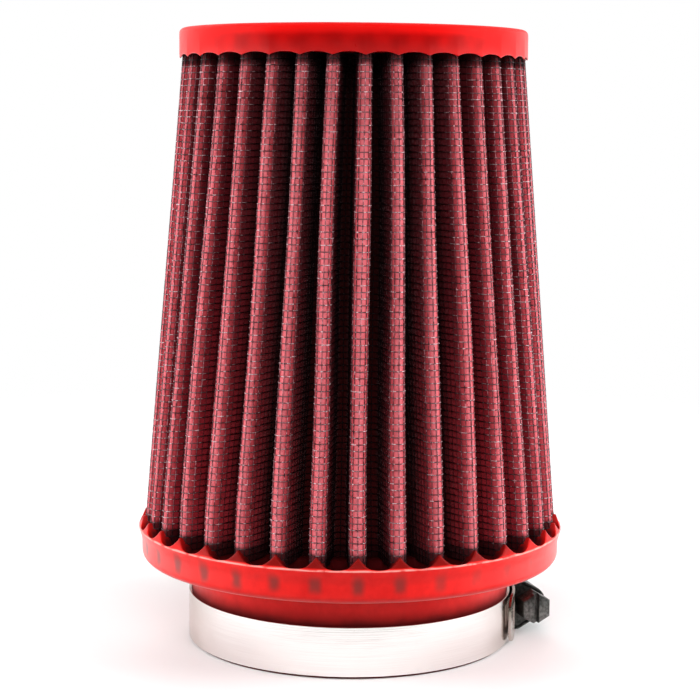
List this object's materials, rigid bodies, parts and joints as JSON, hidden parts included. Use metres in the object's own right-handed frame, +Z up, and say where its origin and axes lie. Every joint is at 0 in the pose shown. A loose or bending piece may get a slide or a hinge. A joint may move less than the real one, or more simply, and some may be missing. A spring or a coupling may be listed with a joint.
{
  "type": "cone air filter",
  "caption": "Cone air filter: pleated cotton under a wire mesh, between a moulded red cap and a toothed red ring whose neck is held on an intake pipe by a worm-drive clamp.",
  "frame": {"origin": "centre of the neck's open end, on the axis of the filter, at the bottom of the part", "axes": "+Z runs up the filter from the neck to the closed cap, the picture is taken from the -Y side, and the clamp screw is on the +X side"},
  "size_m": [0.1022, 0.1022, 0.1456],
  "materials": {
    "polyurethane": "smooth, slightly translucent red",
    "wire": "thin dark coated wire",
    "gauze": "red oiled cotton",
    "band_steel": "polished stainless",
    "dark_steel": "dark coated steel"
  },
  "bodies": {
    "filter": {"base_flange": "polyurethane", "top_cap": "polyurethane", "outer_wire_mesh": "wire", "cotton_gauze": "gauze", "clamp_band": "band_steel", "clamp_housing": "dark_steel"},
    "clamp_screw": {"clamp_screw": "dark_steel"}
  },
  "joints": [
    {"name": "clamp_screw_turn", "type": "hinge", "parent": "filter", "child": "clamp_screw", "pos_m": [0.0426, 0.01141, 0.0064], "axis": [0.2588, -0.9659, 0], "continuous": true}
  ]
}
